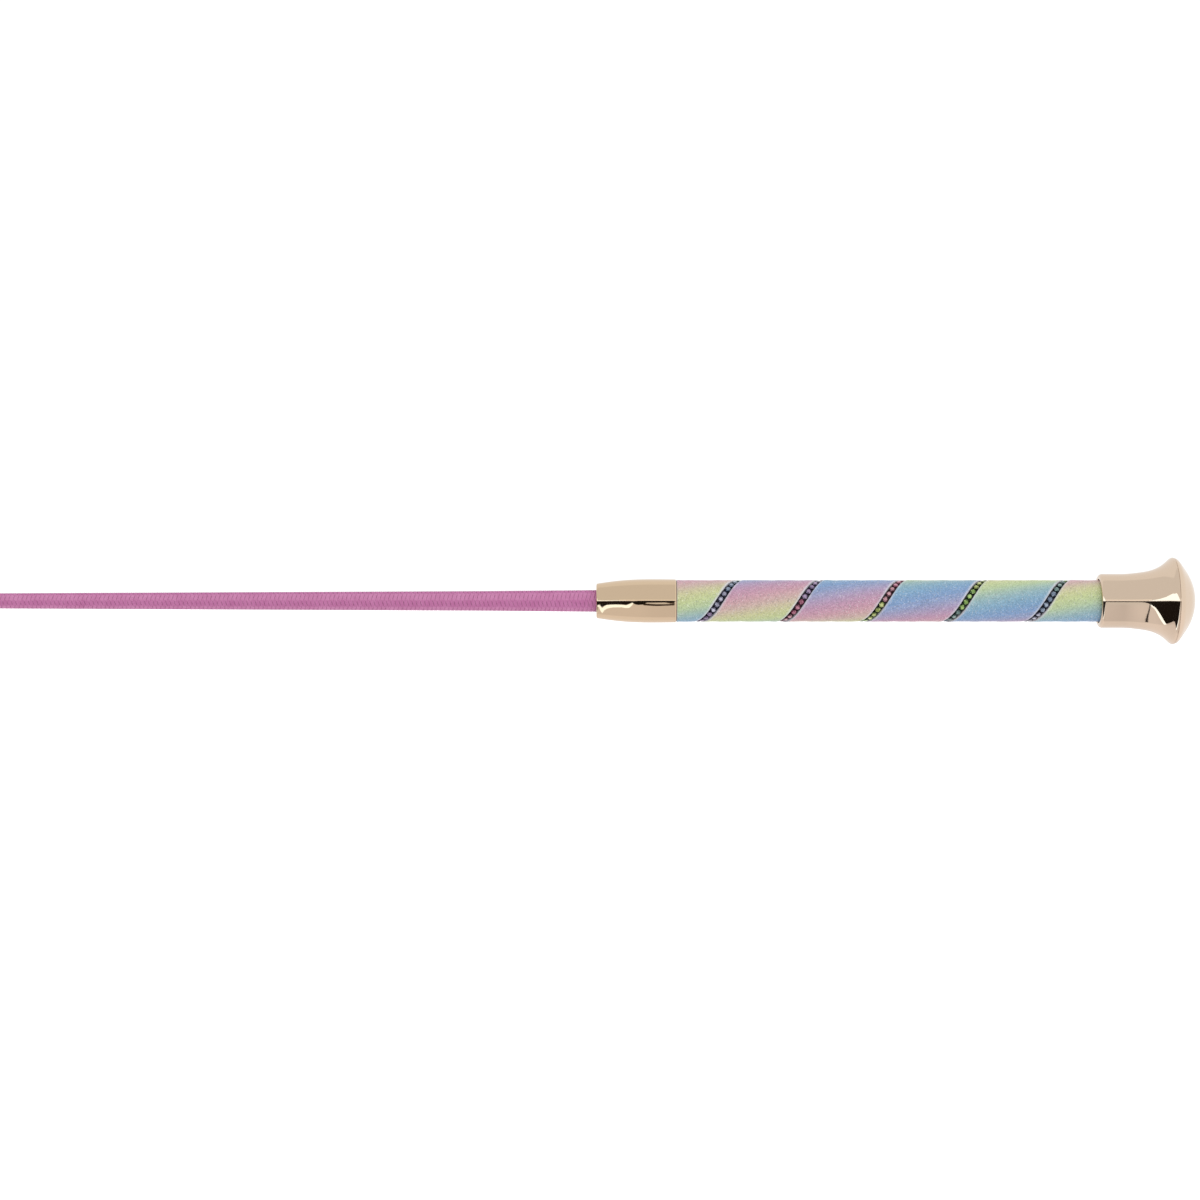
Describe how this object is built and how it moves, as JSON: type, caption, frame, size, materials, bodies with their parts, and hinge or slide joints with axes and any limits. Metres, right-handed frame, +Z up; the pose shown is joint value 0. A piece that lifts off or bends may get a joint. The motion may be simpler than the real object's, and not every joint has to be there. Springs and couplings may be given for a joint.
{
  "type": "dressage whip",
  "caption": "Long riding crop: plaited tapering shaft, rose-gold ferrule, straight glitter-wrapped grip with a crystal spiral, flared mushroom cap and a swinging lash.",
  "frame": {"origin": "on the whip's axis, in the middle of the exposed grip, where a hand or a holder takes it", "axes": "+X along the whip from the lash to the mushroom cap, +Z up, -Y the side where the crystal spiral is seen rising towards the cap"},
  "size_m": [1, 0.0378, 0.0378],
  "materials": {
    "fibreglass": "satin",
    "pink_thread": "matte",
    "binding_thread": "matte",
    "handle_core": "matte",
    "plug_wood": "matte",
    "rose_gold": "polished",
    "rainbow_glitter": "satin",
    "band_tape": "matte",
    "setting_metal": "satin",
    "screw_steel": "satin",
    "crystal_violet": "polished",
    "crystal_lavender": "polished",
    "crystal_blue": "polished",
    "crystal_teal": "polished",
    "crystal_green": "polished",
    "crystal_yellow": "polished",
    "crystal_rose": "polished",
    "crystal_pink": "polished"
  },
  "bodies": {
    "whip": {"core_rod": "fibreglass", "braided_cover": "pink_thread", "butt_whipping": "pink_thread", "tip_whipping": "binding_thread", "handle_tube": "handle_core", "butt_plug": "plug_wood", "ferrule": "rose_gold", "glitter_wrap": "rainbow_glitter", "crystal_tape": "band_tape", "crystal_cups": "setting_metal", "cap_bell": "rose_gold", "cap_dome": "rose_gold", "cap_screw": "screw_steel", "crystals_violet": "crystal_violet", "crystals_lavender": "crystal_lavender", "crystals_blue": "crystal_blue", "crystals_teal": "crystal_teal", "crystals_green": "crystal_green", "crystals_yellow": "crystal_yellow", "crystals_rose": "crystal_rose", "crystals_pink": "crystal_pink"},
    "lash_upper": {"lash_cord": "pink_thread"},
    "lash_end": {"lash_knot": "pink_thread", "lash_tassel": "pink_thread"}
  },
  "joints": [
    {"name": "lash_swing", "type": "hinge", "parent": "whip", "child": "lash_upper", "pos_m": [-0.8234, 0, 0], "axis": [0, 1, 0], "range_deg": [-75, 75], "stiffness_Nm_per_rad": 0.002},
    {"name": "tassel_swing", "type": "hinge", "parent": "lash_upper", "child": "lash_end", "pos_m": [-0.8474, 0, 0], "axis": [0, 0, 1], "range_deg": [-75, 75], "stiffness_Nm_per_rad": 0.0005}
  ]
}
